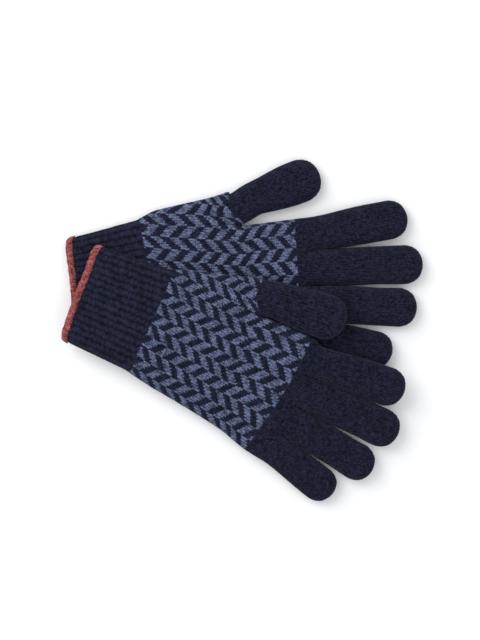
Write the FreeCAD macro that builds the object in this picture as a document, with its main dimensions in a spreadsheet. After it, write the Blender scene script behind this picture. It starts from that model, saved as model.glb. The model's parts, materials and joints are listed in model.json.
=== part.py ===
import FreeCAD, Part
import math
import os
import Sketcher
from FreeCAD import Placement, Rotation, Vector

# A pair of knitted wool gloves lying flat, the left one across the right. Millimetres, +Z up.
#
# Each glove is drawn in a frame of its own: X runs from the cuff's mouth to the fingertips, Y
# towards the thumb, and Z = 0 is the side that it lies on. The right glove lies with its back up
# and the left one with its palm up, so both have their thumb on the same side. A glove is one flat
# tube that branches into five closed stalls. It is parted at the wrist and at two places along each
# stall, where a hand inside would bend it, and each bend is a hinge with its axis along Y.
#
# At a hinge the moving piece has a round end about the axis. The piece that holds it is hollowed
# for that round end, and ends short on the palm side, where the moving piece folds over.

FINGERS = ("index", "middle", "ring", "pinky")
GLOVES = ("right", "left")
PALM_UP = {"right": False, "left": True}

SIZES = {
    # The knit
    "glove_thickness": 10.0,  # two layers of wool and the air between them
    "fabric": 1.8,  # one layer
    "edge_round": 4.0,  # how the fabric rolls round an outline
    # The hinges
    "hinge_gap": 0.4,
    "round_end_inset": 0.1,  # keeps a round end just inside the flat faces
    "finger_gap": 1.6,  # between neighbouring stalls at the knuckles
    # Along a glove
    "edge_length": 6.0,
    "cuff_length": 57.0,
    "thumb_at": 130.0,
    "knuckles_at": 187.0,
    "band_length": 16.0,
    # Across a glove
    "mouth_width": 77.5,
    "thumb_root_width": 28.5,
    # The stalls: from the hinge to the tip, from the first hinge to the second, and across the tip
    "index_length": 70.0,
    "middle_length": 79.0,
    "ring_length": 73.0,
    "pinky_length": 54.0,
    "thumb_length": 65.5,
    "index_bend": 31.0,
    "middle_bend": 36.0,
    "ring_bend": 33.0,
    "pinky_bend": 25.0,
    "thumb_bend": 30.0,
    "finger_tip_width": 28.8,
    "pinky_tip_width": 27.0,
    "thumb_tip_width": 32.0,
    # How the right glove lies
    "right_turn": 3.5,
    "right_mouth_shift": 1.5,
    "right_wrist_width": 91.0,
    "right_wrist_shift": 4.0,
    "right_index_at": 30.7,
    "right_pitch": 26.2,  # from one finger to the next at the knuckles
    "right_crotch_shift": -3.8,  # the foot of the thumb, out from the side of the index finger
    "right_thumb_splay": 17.5,
    "right_index_splay": 7.0,
    "right_middle_splay": -1.1,
    "right_ring_splay": -6.7,
    "right_pinky_splay": -16.0,
    # How the left glove lies
    "left_turn": -24.0,
    "left_mouth_shift": -2.0,
    "left_wrist_width": 85.0,
    "left_wrist_shift": 0.0,
    "left_index_at": 22.5,
    "left_pitch": 24.6,
    "left_crotch_shift": 1.8,
    "left_thumb_splay": 5.9,
    "left_index_splay": 4.6,
    "left_middle_splay": -0.8,
    "left_ring_splay": -7.6,
    "left_pinky_splay": -13.1,
    # How the left glove lies on the right one
    "left_along": 4.6,
    "left_across": 2.4,
    "lying_gap": 0.8,
    # Room for cutting tools, past every piece
    "room": 400.0,
    "run_out": 12.0,
}

THICK = "sizes.glove_thickness"
FABRIC = "sizes.fabric"
HOLLOW = f"({THICK} - 2 * {FABRIC})"
ROUND_END = f"({THICK} / 2 - sizes.round_end_inset)"
SOCKET = f"({ROUND_END} + sizes.hinge_gap)"
NOTCH = f"({SOCKET} + sizes.hinge_gap)"
WRIST = "(sizes.edge_length + sizes.cuff_length)"
BAND = "(sizes.knuckles_at - sizes.band_length)"
WAY_UP = Vector(0, 0, 1)

doc = FreeCAD.newDocument("knitted_gloves")
sheet = doc.addObject("Spreadsheet::Sheet", "sizes")
for row, (alias, number) in enumerate(SIZES.items(), 1):
    sheet.set(f"A{row}", alias)
    sheet.set(f"B{row}", str(number))
    sheet.setAlias(f"B{row}", alias)
doc.recompute()


def value(expression):
    """What an expression on the sheet comes to."""
    return float(sheet.evalExpression(str(expression)))


def bind(thing, **expressions):
    """Tie properties to the sheet; an underscore stands for the dot in a longer name."""
    for name, expression in expressions.items():
        thing.setExpression(name.replace("_", "."), str(expression))


# Lines across a glove


def index_side(glove):
    return f"(sizes.{glove}_index_at + sizes.{glove}_pitch / 2)"


def pinky_side(glove):
    return f"(sizes.{glove}_index_at - {len(FINGERS) - 0.5} * sizes.{glove}_pitch)"


def crotch(glove):
    return f"({index_side(glove)} + sizes.{glove}_crotch_shift)"


def mouth_edge(glove, side):
    return f"(sizes.{glove}_mouth_shift + {side} * sizes.mouth_width / 2)"


def wrist_edge(glove, side):
    return f"(sizes.{glove}_wrist_shift + {side} * sizes.{glove}_wrist_width / 2)"


def cuff_edge_at(glove, side, x):
    """The cuff's side at a distance from the mouth, on the straight line from mouth to wrist."""
    mouth, wrist = mouth_edge(glove, side), wrist_edge(glove, side)
    return f"({mouth} + ({wrist} - {mouth}) * {x} / {WRIST})"


# Sketches


def plan_sketch(body, name, height="0"):
    """An empty sketch on the body's own XY plane, raised by a height."""
    sketch = body.newObject("Sketcher::SketchObject", name)
    plane = next(part for part in body.Origin.OriginFeatures if part.Role == "XY_Plane")
    sketch.AttachmentSupport = [(plane, "")]
    sketch.MapMode = "FlatFace"
    bind(sketch, AttachmentOffset_Base_z=height)
    return sketch


def hold_point(sketch, line, end, x, y):
    """Fix one end of a line, or an arc's centre, at the place that two expressions give."""
    for kind, place in (("DistanceX", x), ("DistanceY", y)):
        rule = Sketcher.Constraint(kind, -1, 1, line, end, value(place))
        sketch.setExpression(f"Constraints[{sketch.addConstraint(rule)}]", str(place))


def draw_polygon(sketch, corners):
    """A closed outline of straight lines through the corners."""
    places = [Vector(value(x), value(y), 0) for x, y in corners]
    for here, there in zip(places, places[1:] + places[:1]):
        sketch.addGeometry(Part.LineSegment(here, there), False)
    for line, (x, y) in enumerate(corners):
        before = (line or len(corners)) - 1
        sketch.addConstraint(Sketcher.Constraint("Coincident", before, 2, line, 1))
        hold_point(sketch, line, 1, x, y)


def draw_stall(sketch, back, half_width, length, radius):
    """A stall's outline: two straight sides from an open end to a round tip about the X axis."""
    start, half, tip = value(back), value(half_width), value(radius)
    centre = Vector(value(length) - tip, 0, 0)
    low, high = centre - Vector(0, tip, 0), centre + Vector(0, tip, 0)
    side_in = Part.LineSegment(Vector(start, -half, 0), low)
    round_tip = Part.ArcOfCircle(Part.Circle(centre, WAY_UP, tip), -math.pi / 2, math.pi / 2)
    side_out = Part.LineSegment(high, Vector(start, half, 0))
    open_end = Part.LineSegment(Vector(start, half, 0), Vector(start, -half, 0))
    sketch.addGeometry([side_in, round_tip, side_out, open_end], False)
    sketch.addConstraint(Sketcher.Constraint("Tangent", 0, 2, 1, 1))
    sketch.addConstraint(Sketcher.Constraint("Tangent", 1, 2, 2, 1))
    sketch.addConstraint(Sketcher.Constraint("Coincident", 2, 2, 3, 1))
    sketch.addConstraint(Sketcher.Constraint("Coincident", 3, 2, 0, 1))
    hold_point(sketch, 0, 1, back, f"-{half_width}")
    hold_point(sketch, 3, 1, back, half_width)
    hold_point(sketch, 1, 3, f"{length} - {radius}", "0")
    size = sketch.addConstraint(Sketcher.Constraint("Radius", 1, tip))
    sketch.setExpression(f"Constraints[{size}]", str(radius))


# Flat tubes


def rolled_edges(shape):
    """The outline's edges, above and below, without those across a tube's open ends."""
    names = []
    for number, edge in enumerate(shape.Edges, 1):
        first, last = edge.Vertexes[0].Point, edge.Vertexes[-1].Point
        level = abs(first.z - last.z) < 1e-6
        across = isinstance(edge.Curve, Part.Line) and abs(first.x - last.x) < 1e-6
        if level and not across:
            names.append(f"Edge{number}")
    return names


def flat_tube(name, draw_outside, draw_inside):
    """A body padded to a glove's thickness, with a rolled outline and a flat hollow inside."""
    body = doc.addObject("PartDesign::Body", name)
    outside = plan_sketch(body, f"{name}_outside")
    draw_outside(outside)
    pad = body.newObject("PartDesign::Pad", f"{name}_pad")
    pad.Profile = outside
    bind(pad, Length=THICK)
    doc.recompute()
    roll = body.newObject("PartDesign::Fillet", f"{name}_roll")
    roll.Base = (pad, rolled_edges(pad.Shape))
    bind(roll, Radius=f"min(sizes.edge_round; 0.45 * {THICK})")
    doc.recompute()
    solid_volume = roll.Shape.Volume
    inside = plan_sketch(body, f"{name}_inside", f"{THICK} - {FABRIC}")
    draw_inside(inside)
    hollow = body.newObject("PartDesign::Pocket", f"{name}_hollow")
    hollow.Profile = inside
    bind(hollow, Length=HOLLOW)
    doc.recompute()
    if not 0 < hollow.Shape.Volume < solid_volume:
        raise RuntimeError(f"{name} wasn't hollowed")
    return body


def cuff_tube(glove, name, start, stop):
    """A stretch of the straight-sided tube from the mouth to the wrist."""

    def outline(x_from, x_to, inset):
        return [
            (x_from, f"{cuff_edge_at(glove, -1, x_from)} + {inset}"),
            (x_to, f"{cuff_edge_at(glove, -1, x_to)} + {inset}"),
            (x_to, f"{cuff_edge_at(glove, 1, x_to)} - {inset}"),
            (x_from, f"{cuff_edge_at(glove, 1, x_from)} - {inset}"),
        ]

    run_from, run_to = f"({start} - sizes.run_out)", f"({stop} + sizes.run_out)"
    return flat_tube(
        name,
        lambda sketch: draw_polygon(sketch, outline(start, stop, "0")),
        lambda sketch: draw_polygon(sketch, outline(run_from, run_to, FABRIC)),
    )


def hand_tube(glove):
    """The hand, from the wrist to the knuckles, with the foot of the thumb on one side."""
    outside = [
        (WRIST, wrist_edge(glove, -1)),
        ("sizes.knuckles_at", pinky_side(glove)),
        ("sizes.knuckles_at", index_side(glove)),
        ("sizes.thumb_at", crotch(glove)),
        ("sizes.thumb_at", f"{crotch(glove)} + sizes.thumb_root_width"),
        (WRIST, wrist_edge(glove, 1)),
    ]
    past_thumb = "(sizes.thumb_at + sizes.run_out)"
    past_knuckles = "(sizes.knuckles_at + sizes.run_out)"
    before_wrist = f"({WRIST} - sizes.run_out)"
    inside = [
        (before_wrist, f"{wrist_edge(glove, -1)} + {FABRIC}"),
        (WRIST, f"{wrist_edge(glove, -1)} + {FABRIC}"),
        ("sizes.knuckles_at", f"{pinky_side(glove)} + {FABRIC}"),
        (past_knuckles, f"{pinky_side(glove)} + {FABRIC}"),
        (past_knuckles, f"{index_side(glove)} - {FABRIC}"),
        ("sizes.knuckles_at", f"{index_side(glove)} - {FABRIC}"),
        (f"sizes.thumb_at - {NOTCH}", f"{crotch(glove)} - {FABRIC}"),
        (f"sizes.thumb_at - {NOTCH}", f"{crotch(glove)} + 2 * {FABRIC}"),
        (past_thumb, f"{crotch(glove)} + 2 * {FABRIC}"),
        (past_thumb, f"{crotch(glove)} + sizes.thumb_root_width - 2 * {FABRIC}"),
        (f"sizes.thumb_at - {NOTCH}", f"{crotch(glove)} + sizes.thumb_root_width - 2 * {FABRIC}"),
        (WRIST, f"{wrist_edge(glove, 1)} - {FABRIC}"),
        (before_wrist, f"{wrist_edge(glove, 1)} - {FABRIC}"),
    ]
    return flat_tube(
        f"{glove}_hand_tube",
        lambda sketch: draw_polygon(sketch, outside),
        lambda sketch: draw_polygon(sketch, inside),
    )


def splay(glove, finger):
    return f"sizes.{glove}_{finger}_splay"


def stall_tube(glove, finger, x, low, high, tip_width):
    """A closed stall, open at its foot, that stands between two places across its first hinge."""
    length = f"sizes.{finger}_length"
    root_width = f"(({high} - {low}) * cos({splay(glove, finger)}))"

    def outline(back, inset):
        half, tip = f"({root_width} / 2 - {inset})", f"({tip_width} / 2 - {inset})"
        return lambda sketch: draw_stall(sketch, back, half, f"({length} - {inset})", tip)

    behind = f"-{THICK}"
    hollow = outline(f"{behind} - sizes.run_out", FABRIC)
    body = flat_tube(f"{glove}_{finger}_stall", outline(behind, "0"), hollow)
    body.Placement = Placement(Vector(), Rotation(WAY_UP, 1))
    bind(body, Placement_Base_x=x, Placement_Base_y=f"({low} + {high}) / 2")
    bind(body, Placement_Rotation_Angle=splay(glove, finger))
    return body


# Cutting at a hinge


def slab_of_room(name, x_from, x_to, z_from="-sizes.room", z_to="sizes.room", y_from="-sizes.room"):
    """A block as wide as the room there is, between two places along a glove."""
    block = doc.addObject("Part::Box", name)
    bind(block, Length=f"{x_to} - {x_from}", Width=f"sizes.room - {y_from}")
    bind(block, Height=f"{z_to} - {z_from}", Placement_Base_z=z_from)
    bind(block, Placement_Base_x=x_from, Placement_Base_y=y_from)
    return block


def bar_across(name, x, radius, y_from="-sizes.room"):
    """A round bar along a hinge's axis, at half the glove's thickness."""
    bar = doc.addObject("Part::Cylinder", name)
    bar.Placement = Placement(Vector(), Rotation(Vector(1, 0, 0), -90))
    bind(bar, Radius=radius, Height=f"sizes.room - {y_from}", Placement_Base_x=x)
    bind(bar, Placement_Base_y=y_from, Placement_Base_z=f"{THICK} / 2")
    return bar


def joined(name, *tools):
    """Several cutting tools as one."""
    union = doc.addObject("Part::MultiFuse", name)
    union.Shapes = list(tools)
    return union


def beyond(x, towards, reach="0"):
    """From a hinge to the end of the room: forwards is 1, back to the cuff is -1."""
    near, far = f"({x} - {towards} * {reach})", f"({x} + {towards} * sizes.room)"
    return (near, far) if towards > 0 else (far, near)


def moving_space(name, x, towards=1):
    """All that lies past a hinge, with a round end about it."""
    past = slab_of_room(f"{name}_past", *beyond(x, towards))
    return joined(f"{name}_space", past, bar_across(f"{name}_end", x, ROUND_END))


def socket_space(name, glove, x, towards=1, y_from="-sizes.room"):
    """What the piece that holds a hinge leaves free for the moving piece, over its whole travel."""
    palm = (f"{THICK} / 2", "sizes.room") if PALM_UP[glove] else ("-sizes.room", f"{THICK} / 2")
    past = slab_of_room(f"{name}_clear", *beyond(x, towards), y_from=y_from)
    notch = slab_of_room(f"{name}_notch", *beyond(x, towards, NOTCH), *palm, y_from)
    hollow = bar_across(f"{name}_hollow_bar", x, SOCKET, y_from)
    return joined(f"{name}_socket", past, notch, hollow)


def cut(name, base, tool):
    piece = doc.addObject("Part::Cut", name)
    piece.Base, piece.Tool = base, tool
    return piece


def common(name, base, tool):
    piece = doc.addObject("Part::Common", name)
    piece.Base, piece.Tool = base, tool
    return piece


# The pieces of a glove


def bending_stall(glove, finger, tube, first_space, first_hinge):
    """A stall parted at its second hinge, as a base piece and a tip piece."""
    name = f"{glove}_{finger}"
    second_hinge = f"({first_hinge} + sizes.{finger}_bend)"
    whole = common(f"{name}_whole", tube, first_space)
    base = cut(f"{name}_base", whole, socket_space(name, glove, second_hinge))
    tip = common(f"{name}_tip", tube, moving_space(name, second_hinge))
    return [base, tip]


def cuff_pieces(glove):
    edge = cuff_tube(glove, f"{glove}_cuff_edge", "0", "sizes.edge_length")
    long_tube = cuff_tube(glove, f"{glove}_cuff_tube", "sizes.edge_length", f"({WRIST} + {THICK})")
    return [edge, common(f"{glove}_cuff", long_tube, moving_space(f"{glove}_cuff", WRIST, -1))]


def hand_pieces(glove):
    """The patterned hand and the plain band in front of it, which carries the knuckle hinges."""
    wrist_socket = socket_space(f"{glove}_wrist", glove, WRIST, -1)
    thumb_socket = socket_space(f"{glove}_thumb_foot", glove, "sizes.thumb_at", 1, crotch(glove))
    knuckle_socket = socket_space(f"{glove}_knuckle", glove, "sizes.knuckles_at")
    tube = hand_tube(glove)
    front = slab_of_room(f"{glove}_band_room", BAND, "sizes.room")
    behind = cut(f"{glove}_hand_behind_band", tube, front)
    hand = cut(f"{glove}_hand", behind, joined(f"{glove}_hand_sockets", wrist_socket, thumb_socket))
    ahead = common(f"{glove}_hand_ahead", tube, front)
    return [hand, cut(f"{glove}_knuckle_band", ahead, knuckle_socket)]


def finger_pieces(glove):
    pieces = []
    space = moving_space(f"{glove}_knuckle", "sizes.knuckles_at")
    for place, finger in enumerate(FINGERS):
        high = f"({index_side(glove)} - {place} * sizes.{glove}_pitch - sizes.finger_gap / 2)"
        low = f"({high} - sizes.{glove}_pitch + sizes.finger_gap)"
        tip_width = "sizes.pinky_tip_width" if finger == "pinky" else "sizes.finger_tip_width"
        tube = stall_tube(glove, finger, "sizes.knuckles_at", low, high, tip_width)
        pieces += bending_stall(glove, finger, tube, space, "sizes.knuckles_at")
    return pieces


def thumb_pieces(glove):
    swing = f"{ROUND_END} * tan({splay(glove, 'thumb')})"
    low = f"({crotch(glove)} + sizes.finger_gap + {swing})"
    high = f"({crotch(glove)} + sizes.thumb_root_width)"
    tube = stall_tube(glove, "thumb", "sizes.thumb_at", low, high, "sizes.thumb_tip_width")
    space = moving_space(f"{glove}_thumb_foot", "sizes.thumb_at")
    return bending_stall(glove, "thumb", tube, space, "sizes.thumb_at")


def glove_pieces(glove):
    pieces = cuff_pieces(glove) + hand_pieces(glove) + finger_pieces(glove) + thumb_pieces(glove)
    for piece in pieces:
        piece.Label = piece.Name
    return pieces


# How the pair lies


def plan_place(glove):
    """Where a glove's frame lies on the table, before the left one is leaned on the right one."""
    turn = Rotation(WAY_UP, value(f"sizes.{glove}_turn"))
    if glove == "right":
        return Placement(Vector(), turn)
    return Placement(Vector(value("sizes.left_along"), value("sizes.left_across"), 0), turn)


def pinky_tip(glove):
    """The middle of the pinky's round tip, in the glove's frame."""
    reach = value("sizes.pinky_length - sizes.pinky_tip_width / 2")
    splay = math.radians(value(f"sizes.{glove}_pinky_splay"))
    foot = Vector(value("sizes.knuckles_at"), value(f"{pinky_side(glove)} + sizes.{glove}_pitch / 2"), 0)
    return foot + Vector(reach * math.cos(splay), reach * math.sin(splay), 0)


def leaning_place():
    """The left glove's place: it leans on the edge of the right one, along its pinky side."""
    under, over = plan_place("right"), plan_place("left")
    mouth = under.multVec(Vector(0, value(mouth_edge("right", -1)), 0))
    wrist = under.multVec(Vector(value(WRIST), value(wrist_edge("right", -1)), 0))
    knuckle = under.multVec(Vector(value("sizes.knuckles_at"), value(pinky_side("right")), 0))
    fold = (knuckle - wrist).normalize()
    out = fold.cross(WAY_UP)
    tip_radius = value("sizes.pinky_tip_width / 2")
    tip = under.multVec(pinky_tip("right")).dot(out) + tip_radius
    edge = max(mouth.dot(out), knuckle.dot(out), tip)
    far = over.multVec(pinky_tip("left")).dot(out) + tip_radius
    lean = math.degrees(math.atan2(value(f"{THICK} + sizes.lying_gap"), far - edge))
    pivot = out * far
    return Placement(Vector(), Rotation(fold, lean), pivot).multiply(over)


def bounds(pieces):
    box = FreeCAD.BoundBox()
    for piece in pieces:
        box.add(piece.Shape.optimalBoundingBox(False))
    return box


def move(pieces, shift):
    for piece in pieces:
        piece.Placement = Placement(shift, Rotation()).multiply(piece.Placement)
    doc.recompute()


pair = {glove: glove_pieces(glove) for glove in GLOVES}
doc.recompute()
for glove, place in (("right", plan_place("right")), ("left", leaning_place())):
    for piece in pair[glove]:
        piece.Placement = place
doc.recompute()
move(pair["left"], Vector(0, 0, -bounds(pair["left"]).ZMin))
subparts = pair["right"] + pair["left"]
middle = bounds(subparts).Center
move(subparts, Vector(-middle.x, -middle.y, 0))

for thing in doc.Objects:
    if "Invalid" in thing.State or "Error" in thing.State:
        raise RuntimeError(f"{thing.Label} could not be made: {thing.State}")
for piece in subparts:
    if piece.Shape.isNull() or not piece.Shape.isValid() or not piece.Shape.Solids:
        raise RuntimeError(f"{piece.Label} has no sound solid")

os.makedirs("parts", exist_ok=True)
for piece in subparts:
    piece.Shape.exportStep(f"parts/{piece.Label}.step")
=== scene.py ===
"""A pair of knitted wool gloves lying flat, the left one across the right, on a pale floor.

Lengths are in millimetres until a mesh is laid in its place. Each glove has a frame of its own:
"along" runs from the cuff's mouth to the fingertips, "across" towards the thumb, and "height" is
over the side that it lies on. Every tube is knitted from courses, its rows, and wales, its columns.
"""
import json
import math

import bpy
import numpy as np
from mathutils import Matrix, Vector


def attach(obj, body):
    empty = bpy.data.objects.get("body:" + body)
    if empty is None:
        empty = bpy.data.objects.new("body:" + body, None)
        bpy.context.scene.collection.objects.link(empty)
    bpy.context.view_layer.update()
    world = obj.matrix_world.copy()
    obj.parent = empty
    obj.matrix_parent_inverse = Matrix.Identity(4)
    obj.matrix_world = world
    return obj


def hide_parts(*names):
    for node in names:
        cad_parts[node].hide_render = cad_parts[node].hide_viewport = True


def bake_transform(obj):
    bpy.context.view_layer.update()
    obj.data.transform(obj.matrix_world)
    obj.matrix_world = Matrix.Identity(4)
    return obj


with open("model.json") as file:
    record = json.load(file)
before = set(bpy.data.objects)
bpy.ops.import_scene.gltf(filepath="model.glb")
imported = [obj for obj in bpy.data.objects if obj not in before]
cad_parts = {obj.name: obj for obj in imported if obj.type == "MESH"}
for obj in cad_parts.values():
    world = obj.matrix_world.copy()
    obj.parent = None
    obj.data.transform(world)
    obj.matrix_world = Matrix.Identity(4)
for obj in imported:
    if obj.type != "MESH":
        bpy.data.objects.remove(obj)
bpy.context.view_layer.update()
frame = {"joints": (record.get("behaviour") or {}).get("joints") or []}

MM = 0.001
FINGERS = ("index", "middle", "ring", "pinky")
HINGES = {joint["name"]: joint for joint in frame["joints"]}

# The knit
HALF = 5.0  # half a glove's thickness
SIDE_ROLL = 8.0  # how far in the side of a hand or a cuff is rounded
STALL_ROLL = 7.5  # and a finger's
COURSE = 1.45  # a stitch's height; its width follows from how many go over the hand
ACROSS_WALE = 4  # squares of the mesh across one stitch
UP_COURSE = 2  # and along it
UNDERSIDE = 200  # the underside's wales are numbered back from here
MAIN_WALES = {"right": 52, "left": 50}  # over the top of the hand, without the thumb
THUMB_WALES = 16
STALL_WALES = 16
RIBS = 17
EDGE_LOOPS = 44
TUCK_ON, TUCK_IN = 0.9, 0.8  # how far a tube's end goes on and in under its neighbour
STALL_SLACK = 0.05  # between a stall and half the pitch, at the knuckles
STALL_EASE = 0.3  # the wool's width past the shape of a fingertip

# Along a glove
EDGE = 6.0
WRIST = 63.0
CROTCH = 130.0
BAND = 171.0
KNUCKLES = 187.0
LEAN_FROM, LEAN_OVER = 96, 34  # where the courses begin to lean towards the thumb's
SQUARE_AT = 110  # where the hand's courses no longer follow the wrist's slant
SQUARE_TO = 12  # and the cuff's
ROOT = 14  # how much of a stall takes its shape from the hand
PARTING = 15  # where a stall's halves meet
WRIST_BEND = 14.0  # the stretch of the cuff before the wrist hinge, which bend_at is given
STALL_BEND = 9.5  # and of a stall past its foot

# The stalls: the length past the knuckles, and the width across the round tip
STALLS = {
    "index": (70.0, 28.8),
    "middle": (79.0, 28.8),
    "ring": (73.0, 28.8),
    "pinky": (54.0, 27.0),
    "thumb": (65.5, 32.0),
}

# A glove's outline, as places along and across it, and how its rows lie:
#   wrist_shift   the wrist hinge's middle, across
#   pitch         from one finger to the next at the knuckles
#   main_side     where the thumb's foot meets the rest of the hand, and the index side after that
#   parted        where the gaps index-middle, middle-ring and ring-little finger open
#   wrist_slant   the hand's first course, from the wrist, at the little finger and at the thumb
#   mouth_slant   the cuff's mouth, at the thumb and at the little finger
#   bow           how much further on the index finger's courses are than the little finger's
#   thumb_slant   the thumb's first course, at the palm's edge and at the outside
#   thumb_low     extra width of the thumb towards the palm, and thumb_up how high it rests
SHAPES = {
    "right": {
        "wrist_shift": 4.0,
        "pitch": 26.2,
        "pinky_side": [
            (0, -36.8), (30, -39), (63, -41.5), (72, -43.6),
            (129, -51.8), (158, -56), (187, -61),
        ],
        "thumb_side": [
            (0, 39.8), (28, 44.2), (56, 48.6), (63, 50),
            (73, 55.4), (92, 59.6), (110, 63), (130, 68.5),
        ],
        "main_side": [(63, 49.5), (130, 40), (187, 43.8)],
        "mouth_slant": (-1.6, 1.4),
        "bow": 0.0,
        "parted": (14, 18, 18),
        "wrist_slant": (5.0, -8.5),
        "thumb_slant": (2.0, -8.0),
        "thumb_low": 0.0,
        "thumb_up": 0.0,
    },
    "left": {
        "wrist_shift": 0.0,
        "pitch": 24.6,
        "pinky_side": [
            (0, -40.8), (58, -41.8), (63, -42.4), (80, -45.4),
            (114, -49.5), (144, -54), (187, -63.6),
        ],
        "thumb_side": [(0, 36.8), (58, 41.8), (63, 42.8), (72, 47), (100, 55.4), (130, 65.1)],
        "main_side": [(63, 42.5), (130, 36.6), (142, 37.6), (160, 38.3), (172, 38.2), (187, 34.8)],
        "mouth_slant": (0.0, 4.6),
        "bow": 10.5,
        "parted": (60, 25, 18),
        "wrist_slant": (0.0, 0.0),
        "thumb_slant": (3.0, -5.0),
        "thumb_low": 1.2,
        "thumb_up": 2.6,
    },
}


def ease(t):
    t = np.clip(t, 0, 1)
    return t * t * (3 - 2 * t)


def slant_of(lay, share):
    """How far forward the thumb's first course is. The share is 0 at the palm's edge, 1 outside."""
    first, last = lay.shape["thumb_slant"]
    return first + (last - first) * ease(share / 0.55)


def wrist_slant(lay, share):
    """How far past the wrist the ribs end. The share is 0 at the little finger's side."""
    first, last = lay.shape["wrist_slant"]
    return first + (last - first) * share


def soft_line(points):
    """A line through the points, rounded at them, and straight past its ends."""
    at, out = np.array(points, float).T
    grid = np.linspace(at[0] - 30, at[-1] + 30, 900)
    line = np.interp(grid, at, out)
    before, after = grid < at[0], grid > at[-1]
    line[before] += (grid[before] - at[0]) * (out[1] - out[0]) / (at[1] - at[0])
    line[after] += (grid[after] - at[-1]) * (out[-1] - out[-2]) / (at[-1] - at[-2])
    reach = np.arange(-40, 41) * (grid[1] - grid[0])
    weight = np.exp(-((reach / 2.6) ** 2))
    soft = np.convolve(np.pad(line, 40, mode="edge"), weight / weight.sum(), mode="valid")
    inside = (grid > grid[45]) & (grid < grid[-46])
    return lambda u: np.interp(u, grid[inside], soft[inside])


# How a glove lies


class Lay:
    """A glove's own frame, as its hinges give it, and how the wool sags between its supports."""

    def __init__(self, glove):
        self.glove, self.shape = glove, SHAPES[glove]
        wrist, knuckle = self.hinge("wrist_bend"), self.hinge("middle_knuckle_bend")
        across = np.array(HINGES[f"{glove}_index_knuckle_bend"]["axis"])
        across = across if across[1] > 0 else -across
        ahead = knuckle - wrist
        ahead -= across * (ahead @ across)
        self.ahead, self.across = ahead / np.linalg.norm(ahead), across / np.linalg.norm(across)
        self.up = np.cross(self.ahead, self.across)
        wrist_at = (WRIST, self.shape["wrist_shift"], HALF)
        axes = (self.ahead, self.across, self.up)
        self.origin = wrist - sum(size * axis for size, axis in zip(wrist_at, axes))

    def hinge(self, name):
        return np.array(HINGES[f"{self.glove}_{name}"]["pos_m"]) / MM

    def own(self, place):
        """A place of the shared frame, as along, across and height."""
        away = place - self.origin
        return np.array([away @ self.ahead, away @ self.across, away @ self.up])

    def sag(self, points):
        """How far the wool is moved up. This glove lies flat on the floor."""
        return np.zeros(points.shape[:-1])

    def world(self, points):
        """Points of the glove's own frame, laid in the shared frame, in metres."""
        laid = self.origin + points @ np.stack([self.ahead, self.across, self.up])
        laid[..., 2] += self.sag(laid)
        return laid * MM


class LeaningLay(Lay):
    """The left glove rests on the right one's edge, follows its back on one side of that edge and
    comes down to the floor on the other."""

    def __init__(self, glove, under):
        super().__init__(glove)
        edge = soft_line(under.shape["pinky_side"])
        ends = np.array([[u, float(edge(u)), 0.0] for u in (WRIST, KNUCKLES)])
        self.start, end = under.world(ends) / MM
        fold = (end - self.start) / np.linalg.norm(end - self.start)
        self.out = np.array([fold[1], -fold[0], 0.0])

    def sag(self, points):
        past = (points - self.start) @ self.out
        hang = -2.6 * np.sin(np.pi * np.clip(past / 95, 0, 1)) ** 2
        rest = -0.055 * np.clip(-past, 0, 60)
        return hang + rest


# Cross-sections


def rolled(inside, roll):
    """How full a tube is at a distance inside its side: 0 at the side and 1 where it is flat."""
    return np.sqrt(np.clip(1 - (1 - np.clip(inside / roll, 0, 1)) ** 2, 0, 1))


def flat_height(v, low, high, roll=SIDE_ROLL):
    """How full a flat tube is between its two sides, with 1 for its whole thickness."""
    roll = min(roll, (high - low) / 2)
    return rolled(v - low, roll) * rolled(high - v, roll)


def across_marks(low, high, roll, places, split=None):
    """Where the wales lie from one side to the other, evenly round the rolled sides.

    places are shares from 0 to 1 of the way over the top. A split gives (place, share): that share
    of the wales lies before that place."""
    turn = np.linspace(0, np.pi, 700)
    v = (low + high) / 2 - np.cos(turn) * (high - low) / 2
    z = flat_height(v, low, high, roll) * HALF
    run = np.concatenate([[0], np.cumsum(np.hypot(np.diff(v), np.diff(z)))])
    if split is None:
        at = places * run[-1]
    else:
        cut = np.interp(split[0], v, run)
        share = split[1]
        first = places / share * cut
        second = cut + (places - share) / (1 - share) * (run[-1] - cut)
        at = np.where(places <= share, first, second)
    return np.interp(at, run, v), at


class Knit:
    """The rows of one tube, as they are added: along, across, height and each corner's stitch."""

    def __init__(self, wales_over, squares=ACROSS_WALE):
        self.places = np.linspace(0, 1, wales_over * squares + 1)
        self.rows = []

    def add(self, u, v, z, wale, course):
        """A row over the top; the side it lies on mirrors it."""
        u = np.broadcast_to(u, v.shape)
        course = np.broadcast_to(course, v.shape)
        top = np.stack([u, v, z, wale, course], -1)
        under = top[::-1].copy()
        under[:, 2] *= -1
        under[:, 3] = UNDERSIDE - under[:, 3]
        self.rows.append(np.concatenate([top, under[1:]]))

    def points(self):
        rows = np.array(self.rows)
        return rows[..., :3] + [0, 0, HALF], rows[..., 3:]


UNEVEN = np.random.default_rng(7).normal(size=(211, 127))


def uneven(wale, course):
    """How much a stitch differs from its neighbours, the same all over the stitch."""
    return UNEVEN[np.floor(wale).astype(int) % 211, np.floor(course + 1e-6).astype(int) % 127]


def stitch_relief(wale, course):
    """How far the wool stands back from the surface: each stitch is two legs that lean together."""
    part = wale % 1.0
    legs = np.abs(np.sin(2 * np.pi * part))
    middle = 0.5 - 0.5 * np.cos(2 * np.pi * part)
    joint = 0.5 + 0.5 * np.cos(2 * np.pi * course)
    sunk = -0.58 * (1 - 0.7 * middle) * (1 - legs) - 0.30 * joint * (0.5 + 0.5 * legs)
    return sunk - 0.09 * np.abs(uneven(wale, course)) * legs


def lean_of_legs(wale):
    """How much further on a stitch's outer ends are than its middle, in courses."""
    return 0.7 * np.abs(2 * (wale % 1.0) - 1)


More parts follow.
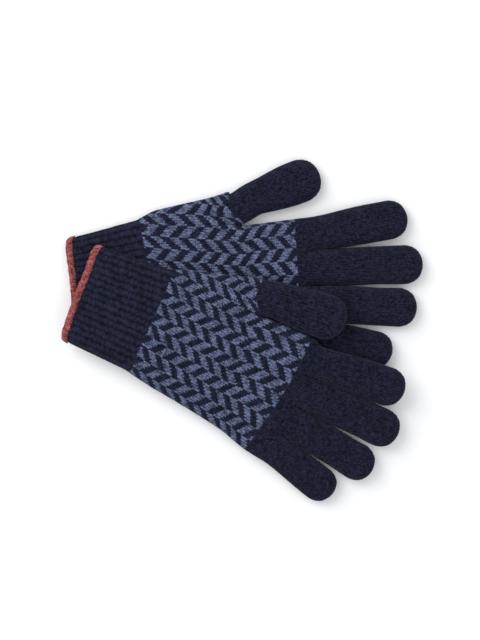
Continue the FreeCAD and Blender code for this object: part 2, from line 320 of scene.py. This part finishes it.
def rib_relief(wale, course):
    """Ribs are pairs of knit wales with a sunk wale between them."""
    ridge = np.cos(2 * np.pi * wale)
    body = 0.5 + 0.5 * np.tanh(2.2 * ridge + 1.1)
    joint = 0.5 + 0.5 * np.cos(2 * np.pi * course)
    groove = np.exp(-((((wale + 0.5) % 1.0) - 0.5) / 0.07) ** 2)
    rough = 0.10 * np.abs(uneven(2 * wale, course)) * body
    return -0.95 * (1 - body) - 0.2 * joint * body - 0.25 * groove - rough


def normals_of(points):
    """The outward normals of a rolled grid whose last column is its first."""
    ring = np.concatenate([points[:, -2:-1], points, points[:, 1:2]], 1)
    round_it = ring[:, 2:] - ring[:, :-2]
    along = np.gradient(points, axis=0)
    normal = np.cross(along, round_it)
    size = np.linalg.norm(normal, axis=-1, keepdims=True)
    return normal / np.maximum(size, 1e-9)


def rolled_grid(name, points, stitches):
    """A grid primitive with a square for each part of a stitch, rolled up through the points."""
    rows, columns = points.shape[:2]
    bpy.ops.object.select_all(action="DESELECT")
    bpy.ops.mesh.primitive_grid_add(x_subdivisions=columns - 1, y_subdivisions=rows - 1, size=1)
    piece = bpy.context.object
    piece.name = piece.data.name = name
    mesh = piece.data
    mesh.vertices.foreach_set("co", points.astype(np.float32).ravel())
    corner = np.empty(len(mesh.loops), np.int32)
    mesh.loops.foreach_get("vertex_index", corner)
    mesh.uv_layers[0].name = "stitches"
    flat = stitches.reshape(-1, 2)[corner]
    mesh.uv_layers["stitches"].uv.foreach_set("vector", flat.astype(np.float32).ravel())
    spread = np.stack(np.meshgrid(np.arange(columns) / columns, np.arange(rows) / rows), -1)
    spread = 0.01 + 0.97 * spread.reshape(-1, 2)[corner]
    mesh.uv_layers.new(name="OFBake", do_init=False)
    mesh.uv_layers["OFBake"].uv.foreach_set("vector", spread.astype(np.float32).ravel())
    mesh.uv_layers.active = mesh.uv_layers["stitches"]
    mesh.update()
    return piece


def join(name, pieces):
    bpy.ops.object.select_all(action="DESELECT")
    for piece in pieces:
        piece.select_set(True)
    bpy.context.view_layer.objects.active = pieces[0]
    if len(pieces) > 1:
        bpy.ops.object.join()
    piece = bpy.context.object
    piece.name = piece.data.name = name
    bpy.ops.object.mode_set(mode="EDIT")
    bpy.ops.mesh.select_all(action="SELECT")
    bpy.ops.mesh.remove_doubles(threshold=1e-6)
    bpy.ops.object.mode_set(mode="OBJECT")
    bpy.ops.object.shade_smooth()
    return piece


def tucked(points, stitches, depth, ends):
    """Sinks the rows by their relief, and carries the tube's ends on under its neighbours.

    ends says which ones: 0 is the first row and -1 the last."""
    normal = normals_of(points)
    points = points + normal * depth[..., None]
    points[:, -1] = points[:, 0]
    rows, marks = [points], [stitches]
    for end in ends:
        onward = points[end] - points[2 if end == 0 else -3]
        onward /= np.maximum(np.linalg.norm(onward, axis=-1, keepdims=True), 1e-9)
        row = (points[end] + onward * TUCK_ON - normal[end] * TUCK_IN)[None]
        rows.insert(0 if end == 0 else len(rows), row)
        marks.insert(0 if end == 0 else len(marks), stitches[end][None])
    return np.concatenate(rows), np.concatenate(marks)


def shaped(knit, relief=stitch_relief, ends=()):
    """A tube's rows with their relief, and the stitch at each corner."""
    points, stitches = knit.points()
    return tucked(points, stitches, relief(stitches[..., 0], stitches[..., 1]), ends)


def knitted(name, lay, knit, relief=stitch_relief, ends=()):
    points, stitches = shaped(knit, relief, ends)
    return rolled_grid(name, lay.world(points), stitches)


# The hand


def bow_of(lay, u, v):
    """How far a course has bowed forward at the index finger and back at the little finger."""
    bow = lay.shape["bow"]
    if not bow:
        return 0.0
    side = bow / 2 - ((35.0 - v) / 88.0) ** 2 * bow
    rise = ease((u - CROTCH - 4) / (BAND - CROTCH - 4)) * ease((KNUCKLES - u) / (KNUCKLES - BAND))
    return side * rise


def hand_piece(lay):
    """The patterned hand, with the thumb's part as far as its foot and without it after that."""
    glove = lay.glove
    low, high, main = (soft_line(lay.shape[k]) for k in ("pinky_side", "thumb_side", "main_side"))
    main_wales, thumb_wales = MAIN_WALES[glove], THUMB_WALES
    share = main_wales / (main_wales + thumb_wales)
    lower = Knit(main_wales + thumb_wales)
    courses = round((CROTCH - WRIST) / COURSE)
    for row in range(courses * UP_COURSE + 1):
        course = row / UP_COURSE
        u = WRIST + (CROTCH - WRIST) * course / courses
        leaning = float(ease((u - LEAN_FROM) / LEAN_OVER))
        a, b, t = float(low(u)), float(high(u + slant_of(lay, 1) * leaning)), float(main(u))
        v, run = across_marks(a, b, SIDE_ROLL, lower.places, (t, share))
        whole = flat_height(v, a, b)
        lobes = np.maximum(flat_height(v, a, t) * (v <= t), flat_height(v, t, b) * (v >= t))
        part = ease((u - CROTCH + 16) / 16)
        z = HALF * ((1 - part) * whole + part * lobes)
        cut = run[main_wales * ACROSS_WALE]
        pitch = cut / main_wales
        wale = run / pitch
        slant = slant_of(lay, np.clip((v - t) / (b - t), 0, 1)) * (v > t) * leaning
        square = float(ease((SQUARE_AT - u) / (SQUARE_AT - WRIST)))
        slant += wrist_slant(lay, (v - a) / (b - a)) * square
        lower.add(u + slant + lean_of_legs(wale) * COURSE, v, z, wale, course)
    cut = main_wales * ACROSS_WALE + 1
    lower_foot = np.stack([v[:cut], z[:cut]])
    upper = Knit(main_wales)
    more = round((BAND - CROTCH) / COURSE)
    for row in range(more * UP_COURSE + 1):
        course = row / UP_COURSE
        u = CROTCH + (BAND - CROTCH) * course / more
        a, t = float(low(u)), float(main(u))
        v, _ = across_marks(a, t, SIDE_ROLL, upper.places)
        z = HALF * flat_height(v, a, t)
        if not row:
            shift = lower_foot - np.stack([v, z])
        v, z = np.stack([v, z]) + shift * (1 - float(ease((u - CROTCH) / 12)))
        wale = upper.places * main_wales
        upper.add(u + bow_of(lay, u, v) + lean_of_legs(wale) * COURSE, v, z, wale, courses + course)
    low_points, low_stitches = shaped(lower, ends=(0, -1))
    high_points, high_stitches = shaped(upper, ends=(-1,))
    high_points[0, :cut], high_points[0, cut - 1 :] = low_points[-2, :cut], low_points[-2, -cut:]
    parts = [rolled_grid("lower", lay.world(low_points), low_stitches)]
    parts.append(rolled_grid("upper", lay.world(high_points), high_stitches))
    return join(f"{glove}_pattern_wool", parts)


def band_piece(lay):
    """The plain band, which ends in four lobes that the fingers grow from."""
    glove, pitch = lay.glove, lay.shape["pitch"]
    low, main = (soft_line(lay.shape[k]) for k in ("pinky_side", "main_side"))
    wales = MAIN_WALES[glove]
    knit = Knit(wales)
    courses = round((KNUCKLES - BAND) / COURSE)
    feet = [lay.own(lay.hinge(f"{finger}_knuckle_bend"))[1] for finger in FINGERS]
    half = pitch / 2 - STALL_SLACK
    for row in range(courses * UP_COURSE + 1):
        course = row / UP_COURSE
        u = BAND + (KNUCKLES - BAND) * course / courses
        part = float(ease((u - BAND - 2) / (KNUCKLES - BAND - 2)))
        a = float(low(u)) + (feet[-1] - half - float(low(KNUCKLES))) * part
        t = float(main(u)) + (feet[0] + half - float(main(KNUCKLES))) * part
        v, _ = across_marks(a, t, SIDE_ROLL, knit.places)
        whole = flat_height(v, a, t)
        lobes = np.max([flat_height(v, foot - half, foot + half, STALL_ROLL) for foot in feet], 0)
        lobes = np.minimum(lobes, flat_height(v, a, t, STALL_ROLL))
        z = HALF * ((1 - part) * whole + part * lobes)
        wale = knit.places * wales
        knit.add(u + bow_of(lay, u, v) + lean_of_legs(wale) * COURSE, v, z, wale, course)
    return join(f"{glove}_band_wool", [knitted("band", lay, knit, ends=(0, -1))])


# The stalls


def reach_to(own, other, s):
    """Half the way to the neighbouring stall's middle line, at a distance past the knuckles."""
    (start, splay), (other_start, other_splay) = own, other
    apart = abs((other_start + s * math.tan(other_splay)) - (start + s * math.tan(splay)))
    return (apart / 2 + 0.12) * math.cos((splay + other_splay) / 2)


def stall_line(lay, finger):
    """A stall's foot and its splay, from its two hinges."""
    bends = ("foot_bend", "joint_bend") if finger == "thumb" else ("knuckle_bend", "middle_bend")
    foot, joint = (lay.own(lay.hinge(f"{finger}_{name}")) for name in bends)
    return foot, joint, math.atan2(joint[1] - foot[1], joint[0] - foot[0])


def stall_sides(lay, finger, s):
    """How far a stall reaches to its low and its high side, at a distance past its foot."""
    _, tip_width = STALLS[finger]
    foot, _, splay = stall_line(lay, finger)
    tip = tip_width / 2 + STALL_EASE
    if finger == "thumb":
        low, high = (soft_line(lay.shape[side]) for side in ("main_side", "thumb_side"))
        body = (float(high(CROTCH)) - foot[1] - 0.3) * math.cos(splay)
        free = body + (tip - body) * float(ease(s / 45))
        roots = foot[1] - float(low(CROTCH)), float(high(CROTCH + slant_of(lay, 1))) - foot[1]
        part = float(ease(s / ROOT))
        own = free + lay.shape["thumb_low"], free
        return [(1 - part) * root + part * side for root, side in zip(roots, own)]
    root = lay.shape["pitch"] / 2 - STALL_SLACK
    spread = tip - root * math.cos(splay)
    place = FINGERS.index(finger)
    sides = []
    for other in (place + 1, place - 1):
        side = tip - spread * float(ease(1 - s / 40))
        if 0 <= other < len(FINGERS):
            other_foot, _, other_splay = stall_line(lay, FINGERS[other])
            gap = 2.6 * min(max((s - lay.shape["parted"][min(place, other)]) / 26, 0), 1)
            side = min(tip, reach_to((foot[1], splay), (other_foot[1], other_splay), s) - gap / 2)
        part = float(ease(s / ROOT))
        sides.append((1 - part) * root + part * side)
    return sides


def stall_pieces(lay, finger):
    """A stall in two halves, parted in its stiff middle."""
    glove, (length, tip_width) = lay.glove, STALLS[finger]
    foot, joint, splay = stall_line(lay, finger)
    tip = tip_width / 2 + STALL_EASE
    courses = round(length / COURSE)
    step = length / courses
    cap = length - tip
    along = list(np.arange(courses * UP_COURSE) * step / UP_COURSE)
    along += [length - 0.32, length - 0.1, length - 0.02]
    whole = Knit(STALL_WALES)
    cos_s, sin_s = math.cos(splay), math.sin(splay)
    for s in along:
        low, high = stall_sides(lay, finger, min(s, cap))
        shrink = 1.0 if s <= cap else math.sqrt(max(1 - ((s - cap) / tip) ** 2, 1e-5))
        a, b = -low * shrink, high * shrink
        x, _ = across_marks(a, b, STALL_ROLL, whole.places)
        thick = 1.0 if s < length - 8 else math.sqrt(max(1 - ((s - length + 8) / 8) ** 2, 1e-4))
        z = HALF * thick * flat_height(x, a, b, STALL_ROLL)
        wale = STALL_WALES * (0.5 + (whole.places - 0.5) * shrink)
        fade = 1 if s < length - 3 else max(0, (length - s) / 3) * 0.6
        on = s + lean_of_legs(wale) * COURSE * fade
        part = float(ease(s / ROOT))
        turn = splay * part
        if finger == "thumb":
            on = on + slant_of(lay, (x - a) / (b - a)) * (1 - float(ease(s / 24)))
        u = foot[0] + on * cos_s - x * math.sin(turn)
        v = foot[1] + on * sin_s + x * math.cos(turn)
        whole.add(u, v, z, wale, s / step)
    points, stitches = whole.points()
    if finger == "thumb":
        points[..., 2] += (lay.shape["thumb_up"] * ease(np.array(along) / 26))[:, None]
    relief = stitch_relief(stitches[..., 0], stitches[..., 1])
    relief *= np.clip((length - np.array(along)) / 2, 0, 1)[:, None]
    off_middle = np.abs(points[..., 2] - points[..., 2].mean(1)[:, None])
    relief *= 0.03 + 0.97 * np.clip(off_middle / 3, 0, 1)
    points, stitches = tucked(points, stitches, relief, (0,))
    laid = lay.world(points)
    parting = 1 + next(row for row, s in enumerate(along) if s >= PARTING)
    lower = rolled_grid("lower", laid[: parting + 1], stitches[: parting + 1])
    upper = rolled_grid("upper", laid[parting:], stitches[parting:])
    lower = join(f"{glove}_{finger}_lower_wool", [lower])
    upper = join(f"{glove}_{finger}_upper_wool", [upper])
    close_end(upper, laid[-1].mean(0))
    reach = 7.0 if finger == "pinky" else 8.0
    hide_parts(f"{glove}_{finger}_base")
    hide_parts(f"{glove}_{finger}_tip")
    for piece in (lower, upper):
        finish_piece(piece, "plain_wool")
    bend_at(lay, lower, foot, 0.0, STALL_BEND)
    bend_at(lay, upper, joint, -reach, reach)


def close_end(piece, at):
    """Draws the last course together at a fingertip."""
    bpy.ops.object.select_all(action="DESELECT")
    piece.select_set(True)
    bpy.context.view_layer.objects.active = piece
    mesh = piece.data
    place = np.array([v.co for v in mesh.vertices])
    near = np.linalg.norm(place - at, axis=1) < 0.9 * MM
    bpy.ops.object.mode_set(mode="EDIT")
    bpy.ops.mesh.select_mode(type="VERT")
    bpy.ops.mesh.select_all(action="DESELECT")
    bpy.ops.object.mode_set(mode="OBJECT")
    faces_at = np.zeros(len(mesh.edges), int)
    keys = {tuple(sorted(edge.vertices)): edge.index for edge in mesh.edges}
    for face in mesh.polygons:
        for key in face.edge_keys:
            faces_at[keys[tuple(sorted(key))]] += 1
    for edge in mesh.edges:
        if faces_at[edge.index] == 1 and near[list(edge.vertices)].all():
            edge.select = True
    bpy.ops.object.mode_set(mode="EDIT")
    bpy.ops.mesh.select_mode(type="EDGE")
    bpy.ops.mesh.edge_face_add()
    bpy.ops.object.mode_set(mode="OBJECT")


def bend_at(lay, piece, hinge, start, end):
    """Bakes the piece's transform into its mesh. The ends of a stretch before and after the hinge
    are worked out and not used.
    """
    at = [Vector(lay.world(np.array(hinge) + [d, 0, 0])) for d in (start, end)]
    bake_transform(piece)


# The cuff


def cuff_row(lay, u, places, inset):
    """A row over the top of the cuff, set in from its outside."""
    low, high = (float(soft_line(lay.shape[side])(u)) for side in ("pinky_side", "thumb_side"))
    v, _ = across_marks(low + inset, high - inset, SIDE_ROLL - inset, places)
    z = flat_height(v, low + inset, high - inset, SIDE_ROLL - inset) * (HALF - inset)
    first, last = lay.shape["mouth_slant"]
    slant = first + (last - first) * (high - v) / (high - low)
    corner = 1 - rolled(np.minimum(v - low, high - v), 10.0)
    tilt = wrist_slant(lay, (v - low) / (high - low))
    tilt = tilt * float(ease((u - SQUARE_TO) / (WRIST - SQUARE_TO)))
    wave = 0.3 * np.sin(v * 0.12 + lay.shape["pitch"]) + 0.12 * np.sin(v * 0.83)
    mouth = (slant + wave) * float(ease(1 - u / 50)) + 4.4 * corner * float(ease(1 - u / 34))
    return u + mouth + tilt, v, z


def rib_piece(lay):
    """The ribbed cuff and, inside it, the back of the same wool as far as the wrist."""
    outer = Knit(RIBS, 8)
    start = EDGE - 2.4
    courses = round((WRIST - start) / COURSE)
    for row in range(courses * UP_COURSE + 1):
        course = row / UP_COURSE
        out = course / courses
        inset = 0.95 - 0.6 * out + 0.9 * float(ease(1 - row / 5))
        u, v, z = cuff_row(lay, start + (WRIST - start) * out, outer.places, inset)
        wale = outer.places * RIBS
        phase = 0.45 * UNEVEN[np.floor(wale + 0.5).astype(int), 1]
        outer.add(u + lean_of_legs(2 * wale) * 0.7 * COURSE, v, z, wale, course + phase)
    inner = Knit(RIBS, 2)
    for course, u in enumerate(np.linspace(WRIST - 3, EDGE + 1, 16)):
        at, v, z = cuff_row(lay, float(u), inner.places, 2.3)
        inner.add(at, v, z if course else z * 0, inner.places * RIBS, course)
    points, stitches = inner.points()
    lining = rolled_grid("lining", lay.world(points), stitches)
    return join(f"{lay.glove}_rib_wool", [knitted("ribs", lay, outer, rib_relief, (-1,)), lining])


def edge_relief(wale, course):
    """Small upright loops, which the cast-on edge shows."""
    loops = np.abs(np.sin(np.pi * wale))
    joint = 0.5 + 0.5 * np.cos(2 * np.pi * course)
    return -0.22 * (1 - loops) - 0.08 * joint - 0.12 * np.abs(uneven(wale, course))


def edge_piece(lay):
    """The cuff's edge, which rolls over its mouth and a little way in."""
    round_it = np.linspace(-0.35, math.pi - 0.25, 13)
    path = [(2.6 + 2.8 * math.cos(turn), 1.45 - 1.45 * math.sin(turn)) for turn in round_it]
    path += [(2.0, 2.6), (3.6, 2.7), (5.2, 2.6), (EDGE + 1.4, 2.5)]
    knit = Knit(EDGE_LOOPS)
    run = 0.0
    for step, (u, inset) in enumerate(path):
        if step:
            run += math.dist(path[step - 1], path[step])
        at, v, z = cuff_row(lay, u, knit.places, inset)
        knit.add(at, v, z, knit.places * EDGE_LOOPS, run / 1.4)
    knit.rows.reverse()
    return join(f"{lay.glove}_edge_wool", [knitted("edge", lay, knit, edge_relief)])


# Loose hairs


def fleece(piece, hairs, seed, longest, width):
    """Fine loose hairs over the top and the sides of a piece, each of its own stitch's colour."""
    mesh = piece.data
    rng = np.random.default_rng(seed)
    count = len(mesh.polygons)

    def read(items, name, width, kind=np.float32):
        values = np.empty(len(items) * width, kind)
        items.foreach_get(name, values)
        return values.reshape(-1, width)

    centre, normal = read(mesh.polygons, "center", 3), read(mesh.polygons, "normal", 3)
    outline = 1 + 4 * (np.abs(normal[:, 2]) < 0.45)
    share = read(mesh.polygons, "area", 1)[:, 0] * (normal[:, 2] > -0.35) * outline
    root = rng.choice(count, hairs, p=share / share.sum())
    first = read(mesh.polygons, "loop_start", 1, np.int32)[root, 0]
    maps = {layer.name: read(layer.uv, "vector", 2)[first] for layer in mesh.uv_layers}
    base, up = centre[root], normal[root]
    along = np.cross(up, rng.normal(size=(hairs, 3)))
    along /= np.linalg.norm(along, axis=1, keepdims=True)
    side = np.cross(up, along)
    length = (rng.uniform(0.7, longest, hairs) * MM)[:, None]
    lift = rng.uniform(0.1, 0.55, hairs)[:, None]
    curl = rng.uniform(-0.6, 0.6, hairs)[:, None]
    width *= MM
    low = base - up * 0.08 * MM
    bend = base + along * length * 0.5 + up * length * lift * 0.75 + side * curl * length * 0.15
    tip = base + along * length + up * length * lift * 0.6 + side * curl * length * 0.6
    wide = side * width
    points = np.stack([low - wide, low + wide, bend - wide, bend + wide, tip], 1)
    points[..., 2] = np.maximum(points[..., 2], 0)
    start = np.arange(hairs)[:, None] * 5
    quads, tips = start + [0, 1, 3, 2], start + [2, 3, 4]
    made = bpy.data.meshes.new("hairs")
    made.vertices.add(hairs * 5)
    made.vertices.foreach_set("co", points.astype(np.float32).ravel())
    made.loops.add(hairs * 7)
    corners = np.concatenate([quads, tips], 1).astype(np.int32)
    made.loops.foreach_set("vertex_index", corners.ravel())
    made.polygons.add(hairs * 2)
    starts = (np.arange(hairs)[:, None] * 7 + [0, 4]).astype(np.int32)
    made.polygons.foreach_set("loop_start", starts.ravel())
    made.update(calc_edges=True)
    small = {"stitches": 0.12, "OFBake": 0.0012}
    spot = np.array([(0, 0), (1, 0), (1, 1), (0, 1), (0, 1), (1, 1), (0.5, 2)], float)
    for name, at in maps.items():
        made.uv_layers.new(name=name, do_init=False)
        spread = at[:, None] + spot * small[name]
        made.uv_layers[name].uv.foreach_set("vector", spread.astype(np.float32).ravel())
    loose = bpy.data.objects.new("hairs", made)
    bpy.context.scene.collection.objects.link(loose)
    bpy.ops.object.select_all(action="DESELECT")
    loose.select_set(True)
    piece.select_set(True)
    bpy.context.view_layer.objects.active = piece
    bpy.ops.object.join()


# Finishes


class Socket:
    """What a node gives out. Arithmetic on it adds Math nodes."""

    def __init__(self, finish, output):
        self.finish, self.output = finish, output

    def _math(self, operation, *values):
        return self.finish.node("ShaderNodeMath", {"operation": operation}, dict(enumerate(values)))

    def __add__(self, other):
        return self._math("ADD", self, other)

    def __sub__(self, other):
        return self._math("SUBTRACT", self, other)

    def __rsub__(self, other):
        return self._math("SUBTRACT", other, self)

    def __mul__(self, other):
        return self._math("MULTIPLY", self, other)

    def __rmul__(self, other):
        return self._math("MULTIPLY", other, self)

    def __mod__(self, other):
        return self._math("FLOORED_MODULO", self, other)

    def __lt__(self, other):
        return self._math("LESS_THAN", self, other)

    def __gt__(self, other):
        return self._math("GREATER_THAN", self, other)

    def __abs__(self):
        return self._math("ABSOLUTE", self)

    def floor(self):
        return self._math("FLOOR", self)

    def sine(self):
        return self._math("SINE", self)

    def power(self, other):
        return self._math("POWER", self, other)


class Finish:
    """A wool, as a material of nodes."""

    def __init__(self, name, roughness=0.9, sheen=0.25, sheen_tint=(0.5, 0.55, 0.7, 1)):
        self.material = bpy.data.materials.new(name)
        self.material.use_nodes = True
        self.tree = self.material.node_tree
        self.tree.nodes.clear()
        self.wool = self.tree.nodes.new("ShaderNodeBsdfPrincipled")
        out = self.tree.nodes.new("ShaderNodeOutputMaterial")
        self.tree.links.new(self.wool.outputs[0], out.inputs["Surface"])
        self.wool.inputs["Sheen Weight"].default_value = sheen
        self.wool.inputs["Sheen Roughness"].default_value = 0.45
        self.wool.inputs["Sheen Tint"].default_value = sheen_tint
        self.wool.inputs["Specular IOR Level"].default_value = 0.12
        self.wool.inputs["Roughness"].default_value = roughness

    def node(self, kind, settings=None, sockets=None, out=0):
        """A node with its settings made first and its sockets given values or links."""
        node = self.tree.nodes.new(kind)
        for name, setting in (settings or {}).items():
            setattr(node, name, setting)
        for name, value in (sockets or {}).items():
            if isinstance(value, Socket):
                self.tree.links.new(value.output, node.inputs[name])
            else:
                node.inputs[name].default_value = value
        return Socket(self, node.outputs[out])

    def feed(self, name, value):
        self.tree.links.new(value.output, self.wool.inputs[name])

    def stitches(self):
        """Where a point is in the knit: its wale and its course."""
        place = self.node("ShaderNodeUVMap", {"uv_map": "stitches"})
        parts = self.node("ShaderNodeSeparateXYZ", None, {0: place})
        return parts, Socket(self, parts.output.node.outputs[1])

    def noise(self, scale, detail=2.0, roughness=0.55, stretch=None):
        """Noise of the fleece, from -1 to 1, at so many lumps a metre."""
        place = self.node("ShaderNodeTexCoord", None, None, "Object")
        if stretch:
            place = self.node("ShaderNodeMapping", None, {"Vector": place, "Scale": stretch})
        sockets = {"Vector": place, "Scale": scale, "Detail": detail, "Roughness": roughness}
        return (self.node("ShaderNodeTexNoise", None, sockets) - 0.5) * 2.0

    def mix(self, share, first, second):
        sockets = {"Factor": share, 6: first, 7: second}
        return self.node("ShaderNodeMix", {"data_type": "RGBA"}, sockets, 2)


def colour(red, green, blue):
    """A colour for sockets, from the 0 to 255 of a swatch card."""
    parts = [c / 255 for c in (red, green, blue)]
    return (*[p / 12.92 if p <= 0.04045 else ((p + 0.055) / 1.055) ** 2.4 for p in parts], 1)


def wool(name, dark, light, speck, ribs=False, pattern=None, loops=False, sheen=0.1):
    """Wool yarn: sunk between its stitches and painted darker there as shade, uneven from stitch to
    stitch, and flecked.
    """
    finish = Finish(name, sheen=sheen)
    wale, course = finish.stitches()
    part = wale % 1.0
    lumps = 0.7
    # legs is high on a stitch's legs and low in the hollows between them; it shapes the bump, and
    # in the colour it paints shade into the hollows.
    if ribs:
        ridge = (wale * (2 * math.pi) + math.pi / 2).sine() * 0.5 + 0.5
        legs = abs((wale * (4 * math.pi)).sine()) * 0.4 + ridge.power(0.5) * 0.9 - 0.3
        lumps = 0.35
    elif loops:
        legs = abs((wale * math.pi).sine()) * 0.35 + 0.4
    else:
        middle = 0.5 - (part * (2 * math.pi) + math.pi / 2).sine() * 0.5
        legs = abs((part * (2 * math.pi)).sine())
        legs = 1.0 - (1.0 - legs) * (1.0 - middle * 0.55)
    # joint is high where one course meets the next; in the colour it paints shade there.
    joint = (course * (2 * math.pi) + math.pi / 2).sine() * 0.5 + 0.5
    stitch = finish.node("ShaderNodeCombineXYZ", None, {0: (wale * 2.0).floor(), 1: course.floor()})
    flat = {"noise_dimensions": "2D"}
    uneven = finish.node("ShaderNodeTexWhiteNoise", flat, {"Vector": stitch}) - 0.5
    fleece = finish.noise(1500, 3.0, 0.6)
    hair = finish.noise(5200, 2.0, 0.6, (1.0, 0.35, 1.0))
    tuft = finish.noise(420, 2.0, 0.6)
    cloud = finish.noise(60, 2.0)
    # How far the colour goes towards the lighter one: painted shade in the hollows between legs and
    # at the joints, plus the yarn's own random mottling from the noises and each stitch's
    # unevenness.
    body = legs * 0.45 - joint * (0.12 if ribs else 0.25) + fleece * 0.5 + hair * 0.2
    body = body + uneven * 0.5 + tuft * lumps + 0.25
    if pattern:
        ragged = finish.noise(620, 4.0, 0.75)
        ragged_on = finish.noise(680, 4.0, 0.75, (1.0, 1.0, 1.3))
        shade = pattern(wale + ragged * 0.9, course + ragged_on * 1.3)
        low = finish.mix(shade, dark[0], light[0])
        high = finish.mix(shade, dark[1], light[1])
    else:
        low, high = dark, light
    share = finish.node("ShaderNodeClamp", None, {0: body + cloud * 0.12})
    tone = finish.mix(share, low, high)
    fleck = (finish.noise(2600, 2.0, 0.7) > 0.34) * 0.4
    tone = finish.mix(fleck, tone, speck)
    finish.feed("Base Color", tone)
    height = legs * 0.5 - joint * 0.3 + fleece * 0.5 + hair * 0.4
    sockets = {"Strength": 0.7, "Distance": 0.0005, "Height": height}
    finish.feed("Normal", finish.node("ShaderNodeBump", None, sockets))
    return finish.material


def herringbone(wale, course):
    """Bands five wales wide lean one way and then the other, and jump half a repeat between."""
    column = wale.floor() % 10.0
    back = column > 4.5
    climb = column + back * (13.0 - 2.0 * column)
    return ((course.floor() + climb) % 8.0) < 3.5


# Each wool as a darker and a lighter colour. The darker one is painted into the hollows between
# stitches and the joints between courses as shade, and the yarn's random mottling also reaches it.
# INK and BLUE are the herringbone's two yarns, each such a pair.
NAVY = (colour(0, 1, 4), colour(42, 44, 68))
BLUE = (colour(19, 26, 44), colour(122, 133, 168))
INK = (colour(1, 3, 9), colour(38, 42, 68))
RUST = (colour(78, 32, 32), colour(188, 106, 104))

NAVY_FLECK = colour(64, 68, 92)
WOOLS = {
    "plain_wool": wool("Navy wool", *NAVY, NAVY_FLECK, sheen=0.08),
    "rib_wool": wool("Navy ribbed wool", *NAVY, NAVY_FLECK, ribs=True, sheen=0.08),
    "pattern_wool": wool("Herringbone wool", INK, BLUE, colour(84, 94, 122), pattern=herringbone),
    "edge_wool": wool("Rust wool", *RUST, colour(190, 118, 104), loops=True, sheen=0.25),
}

# Loose hairs: faces of the mesh to each, the longest and half the width
HAIRS = {
    "plain_wool": (7, 2.6, 0.07),
    "rib_wool": (6, 2.6, 0.07),
    "pattern_wool": (9, 2.6, 0.07),
    "edge_wool": (1.2, 1.1, 0.045),
}
HAIRED = []  # the pieces that have their hairs, whose count seeds the next one's


def finish_piece(piece, slot):
    """Gives a piece its loose hairs and its wool."""
    HAIRED.append(piece.name)
    every, longest, width = HAIRS[slot]
    fleece(piece, int(len(piece.data.polygons) / every), len(HAIRED), longest, width)
    piece.data.materials.clear()
    piece.data.materials.append(WOOLS[slot])


# The pair

right = Lay("right")
left = LeaningLay("left", right)
for lay in (right, left):
    glove = lay.glove
    hand, cuff = f"{glove}_hand", f"{glove}_cuff"
    edge = edge_piece(lay)
    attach(edge, cuff)
    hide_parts(f"{glove}_cuff_edge")
    finish_piece(edge, "edge_wool")
    ribs = rib_piece(lay)
    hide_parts(cuff)
    finish_piece(ribs, "rib_wool")
    bend_at(lay, ribs, lay.own(lay.hinge("wrist_bend")), 0.0, -WRIST_BEND)
    pattern = hand_piece(lay)
    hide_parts(hand)
    finish_piece(pattern, "pattern_wool")
    bend_at(lay, pattern, lay.own(lay.hinge("wrist_bend")), 0.0, -WRIST_BEND)
    band = band_piece(lay)
    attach(band, hand)
    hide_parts(f"{glove}_knuckle_band")
    finish_piece(band, "plain_wool")
    for finger in (*FINGERS, "thumb"):
        stall_pieces(lay, finger)

# The floor, the light and the camera

bpy.ops.object.select_all(action="DESELECT")
bpy.ops.mesh.primitive_plane_add(size=6, location=(0, 0, -0.0004))
floor = bpy.context.object
floor.name = "floor"
paper = Finish("Pale floor", roughness=0.8, sheen=0.0)
paper.wool.inputs["Base Color"].default_value = (0.93, 0.93, 0.935, 1)
floor.data.materials.append(paper.material)

scene = bpy.context.scene
scene.view_settings.view_transform = "Standard"
world = scene.world = bpy.data.worlds.new("Studio")
world.use_nodes = True
world.node_tree.nodes["Background"].inputs["Color"].default_value = (0.97, 0.98, 1.0, 1)
world.node_tree.nodes["Background"].inputs["Strength"].default_value = 0.83


def soft_box(name, place, size, power):
    bpy.ops.object.light_add(type="AREA", location=place)
    lamp = bpy.context.object
    lamp.name = name
    lamp.data.shape = "SQUARE"
    lamp.data.size = size
    lamp.data.energy = power
    lamp.rotation_euler = (-Vector(place)).to_track_quat("-Z", "Y").to_euler()
    return lamp


soft_box("key", (-1.0, 0.8, 0.95), 1.15, 17)
soft_box("fill", (0.9, -0.7, 1.6), 1.2, 3)

LENS, SENSOR = 85, 36
TALL = 0.48  # metres from the picture's foot to its top
middle = right.world(np.array([0.0, 0.0, 0.0])) + np.array([127.65, -23.1, 0]) * MM
height = TALL * LENS / SENSOR + 0.01
bpy.ops.object.camera_add(location=(middle[0], middle[1], height), rotation=(0, 0, 0))
scene.camera = bpy.context.object
scene.camera.data.lens = LENS
scene.camera.data.sensor_width = SENSOR
